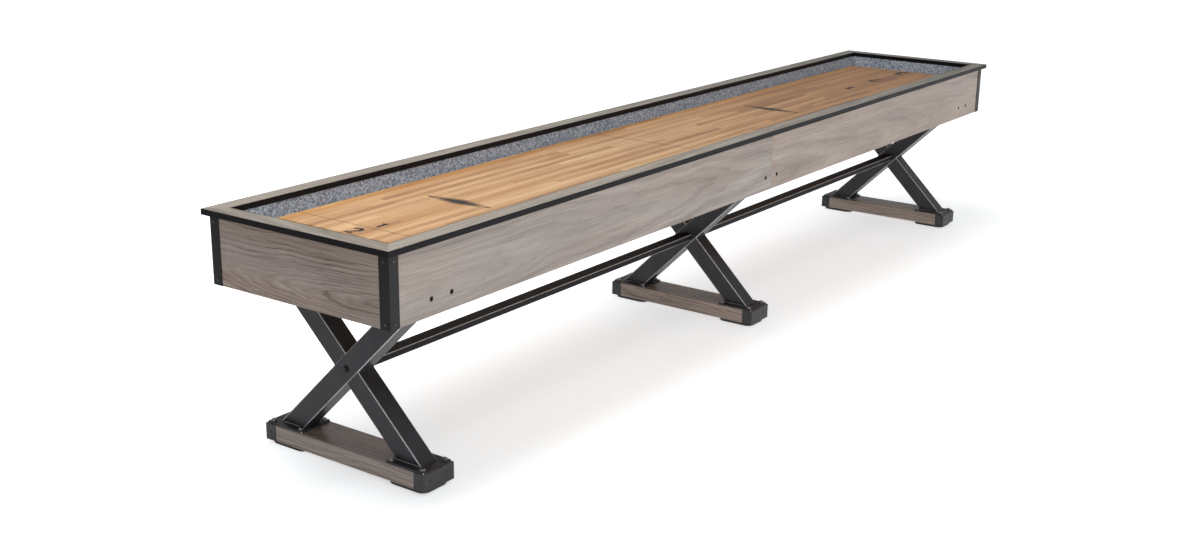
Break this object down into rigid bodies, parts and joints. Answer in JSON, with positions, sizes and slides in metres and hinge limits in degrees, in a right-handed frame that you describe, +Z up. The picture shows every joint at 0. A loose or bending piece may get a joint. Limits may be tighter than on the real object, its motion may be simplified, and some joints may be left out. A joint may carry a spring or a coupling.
{
  "type": "shuffleboard table",
  "caption": "Long shuffleboard table: maple playfield sunk in a felt-lined wooden cabinet, on black X-shaped steel legs with wooden foot beams, stretchers and levelling feet.",
  "frame": {"origin": "on the floor, under the middle of the table", "axes": "+X along the playfield, +Y across it towards the back rail, +Z up"},
  "size_m": [4.267, 0.752, 0.787],
  "materials": {
    "side_laminate": "satin grey driftwood laminate on fibreboard",
    "end_laminate": "satin grey-brown driftwood laminate on fibreboard",
    "rail_laminate": "satin grey driftwood laminate",
    "black_band": "satin black edge band",
    "speckled_felt": "speckled grey felt over board",
    "butcher_block": "clear gloss over laminated maple strips",
    "cradle_softwood": "planed softwood",
    "cap_steel": "black powder coat",
    "beam_laminate": "satin grey-brown driftwood finish",
    "angle_steel": "black powder coat",
    "black_screw": "black oxide",
    "dark_bolt": "black oxide",
    "leg_bolt": "blackened, bright on the corners",
    "adjuster_steel": "zinc plated",
    "foot_plastic": "black, on a zinc plated stem",
    "leg_steel": "textured black powder coat"
  },
  "bodies": {
    "table": {"base_plate_bolts": "leg_bolt", "cap_screws": "black_screw", "climate_adjuster_blocks": "adjuster_steel", "corner_angle_back_left": "angle_steel", "corner_angle_back_right": "angle_steel", "corner_angle_front_left": "angle_steel", "corner_angle_front_right": "angle_steel", "corner_screws": "black_screw", "cradle_cross_members": "cradle_softwood", "end_panel_left": "end_laminate", "end_panel_right": "end_laminate", "foot_beam_1": "beam_laminate", "foot_beam_1_end_caps": "cap_steel", "foot_beam_2": "beam_laminate", "foot_beam_2_end_caps": "cap_steel", "foot_beam_3": "beam_laminate", "foot_beam_3_end_caps": "cap_steel", "gutter_board_back": "speckled_felt", "gutter_board_front": "speckled_felt", "gutter_board_left": "speckled_felt", "gutter_board_right": "speckled_felt", "leg_1_base_plates": "leg_steel", "leg_1_cut_tube": "leg_steel", "leg_1_long_tube": "leg_steel", "leg_1_top_bracket": "leg_steel", "leg_2_base_plates": "leg_steel", "leg_2_cut_tube": "leg_steel", "leg_2_long_tube": "leg_steel", "leg_2_top_bracket": "leg_steel", "leg_3_base_plates": "leg_steel", "leg_3_cut_tube": "leg_steel", "leg_3_long_tube": "leg_steel", "leg_3_top_bracket": "leg_steel", "playfield": "butcher_block", "rail_band_inner": "black_band", "rail_band_outer": "black_band", "rail_cap_back": "rail_laminate", "rail_cap_front": "rail_laminate", "rail_cap_left": "rail_laminate", "rail_cap_right": "rail_laminate", "side_bolts": "dark_bolt", "side_panel_back": "side_laminate", "side_panel_front": "side_laminate", "stretcher_1": "leg_steel", "stretcher_2": "leg_steel", "stretcher_bolts": "leg_bolt", "wall_liner_back": "speckled_felt", "wall_liner_front": "speckled_felt", "wall_liner_left": "speckled_felt", "wall_liner_right": "speckled_felt"},
    "climate_adjuster_rod_1": {"climate_adjuster_rod_1": "adjuster_steel"},
    "climate_adjuster_rod_2": {"climate_adjuster_rod_2": "adjuster_steel"},
    "climate_adjuster_rod_3": {"climate_adjuster_rod_3": "adjuster_steel"},
    "levelling_foot_1_back": {"levelling_foot_1_back": "foot_plastic"},
    "levelling_foot_1_front": {"levelling_foot_1_front": "foot_plastic"},
    "levelling_foot_2_back": {"levelling_foot_2_back": "foot_plastic"},
    "levelling_foot_2_front": {"levelling_foot_2_front": "foot_plastic"},
    "levelling_foot_3_back": {"levelling_foot_3_back": "foot_plastic"},
    "levelling_foot_3_front": {"levelling_foot_3_front": "foot_plastic"}
  },
  "joints": [
    {"name": "levelling_foot_1_front_travel", "type": "slide", "parent": "table", "child": "levelling_foot_1_front", "axis": [0, 0, -1], "range_m": [0, 0.02]},
    {"name": "levelling_foot_1_back_travel", "type": "slide", "parent": "table", "child": "levelling_foot_1_back", "axis": [0, 0, -1], "range_m": [0, 0.02]},
    {"name": "levelling_foot_2_front_travel", "type": "slide", "parent": "table", "child": "levelling_foot_2_front", "axis": [0, 0, -1], "range_m": [0, 0.02]},
    {"name": "levelling_foot_2_back_travel", "type": "slide", "parent": "table", "child": "levelling_foot_2_back", "axis": [0, 0, -1], "range_m": [0, 0.02]},
    {"name": "levelling_foot_3_front_travel", "type": "slide", "parent": "table", "child": "levelling_foot_3_front", "axis": [0, 0, -1], "range_m": [0, 0.02]},
    {"name": "levelling_foot_3_back_travel", "type": "slide", "parent": "table", "child": "levelling_foot_3_back", "axis": [0, 0, -1], "range_m": [0, 0.02]},
    {"name": "climate_adjuster_rod_1_turn", "type": "hinge", "parent": "table", "child": "climate_adjuster_rod_1", "pos_m": [-1.325, 0, 0.673], "axis": [0, 1, 0], "range_deg": [-360, 360]},
    {"name": "climate_adjuster_rod_2_turn", "type": "hinge", "parent": "table", "child": "climate_adjuster_rod_2", "pos_m": [0, 0, 0.673], "axis": [0, 1, 0], "range_deg": [-360, 360]},
    {"name": "climate_adjuster_rod_3_turn", "type": "hinge", "parent": "table", "child": "climate_adjuster_rod_3", "pos_m": [1.325, 0, 0.673], "axis": [0, 1, 0], "range_deg": [-360, 360]}
  ]
}
